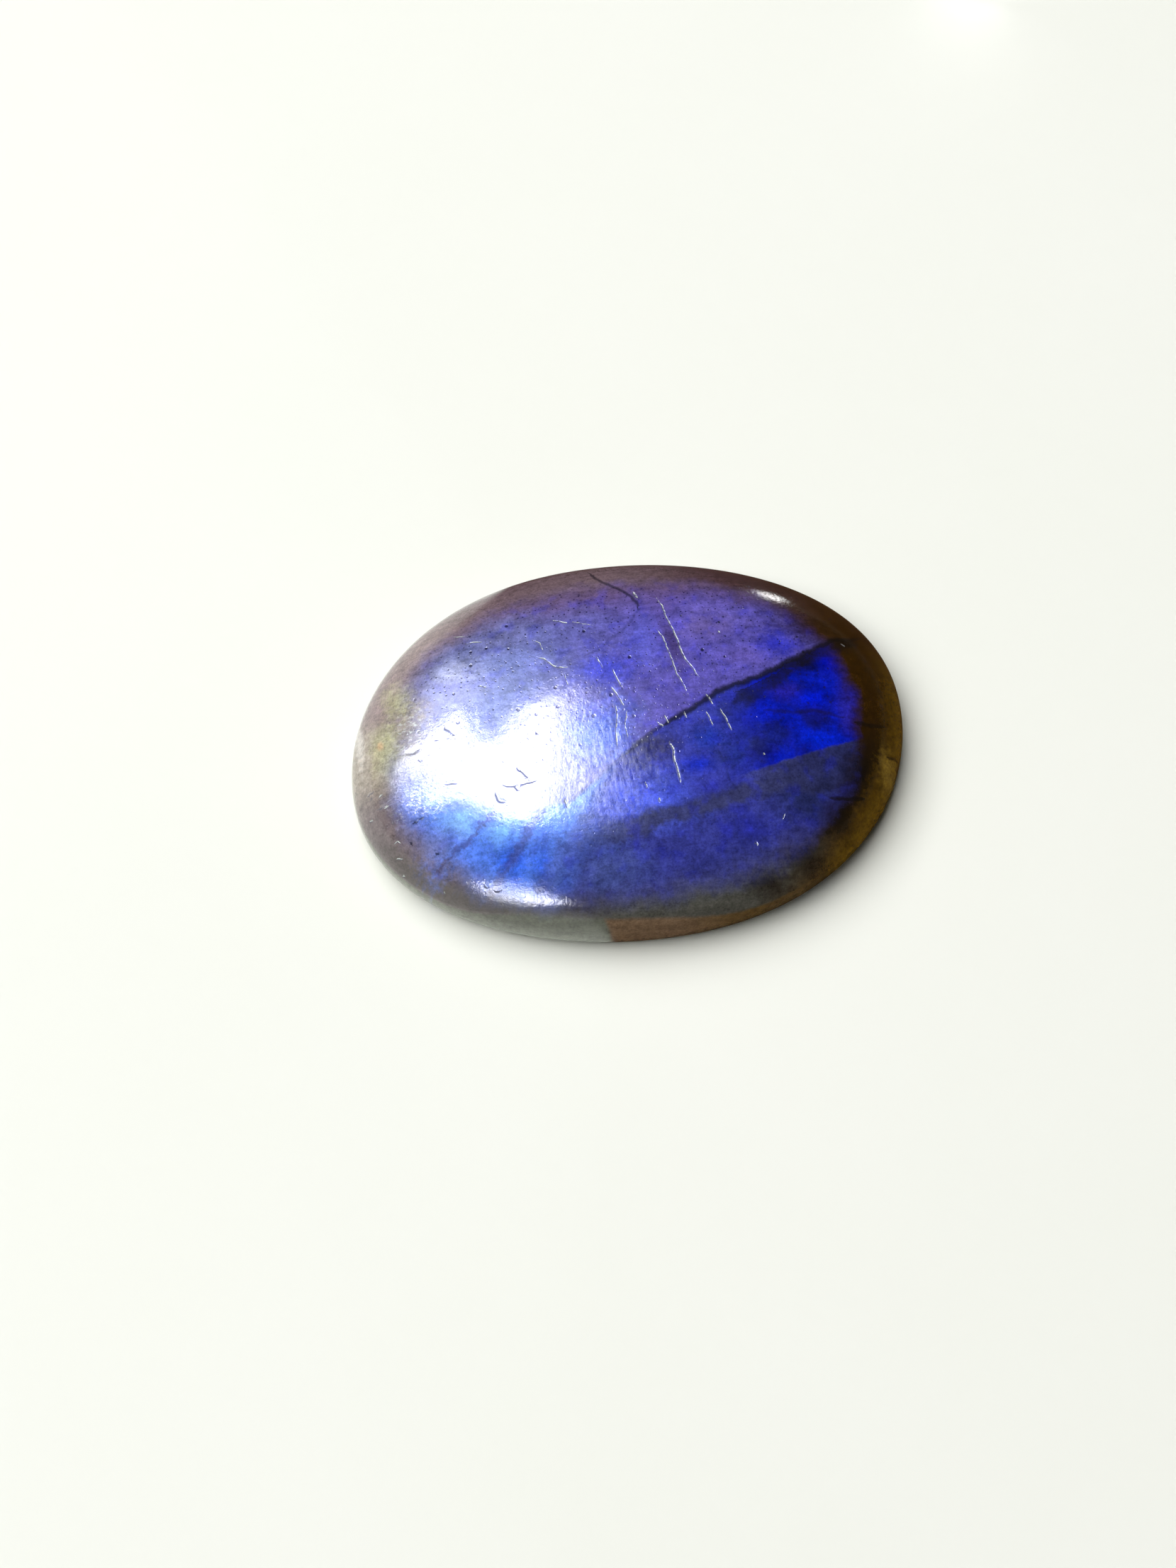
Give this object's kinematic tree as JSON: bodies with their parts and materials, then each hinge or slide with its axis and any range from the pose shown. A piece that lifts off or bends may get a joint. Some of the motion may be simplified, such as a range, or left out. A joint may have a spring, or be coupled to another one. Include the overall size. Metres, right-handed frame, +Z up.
{
  "type": "labradorite cabochon",
  "caption": "Oval polished labradorite cabochon with a low dome, rounded shoulders, a soft girdle and a flat bevelled back.",
  "frame": {"origin": "middle of the flat back, on the surface that the stone lies on", "axes": "+X along the stone's long axis, +Y across its width, +Z up through the dome"},
  "size_m": [0.035, 0.0246, 0.0085],
  "materials": {
    "polished_labradorite": "high polish over translucent grey feldspar with a blue and violet flash, fine surface pits and healed fractures"
  },
  "bodies": {
    "root": {"labradorite_cabochon": "polished_labradorite"}
  },
  "joints": []
}
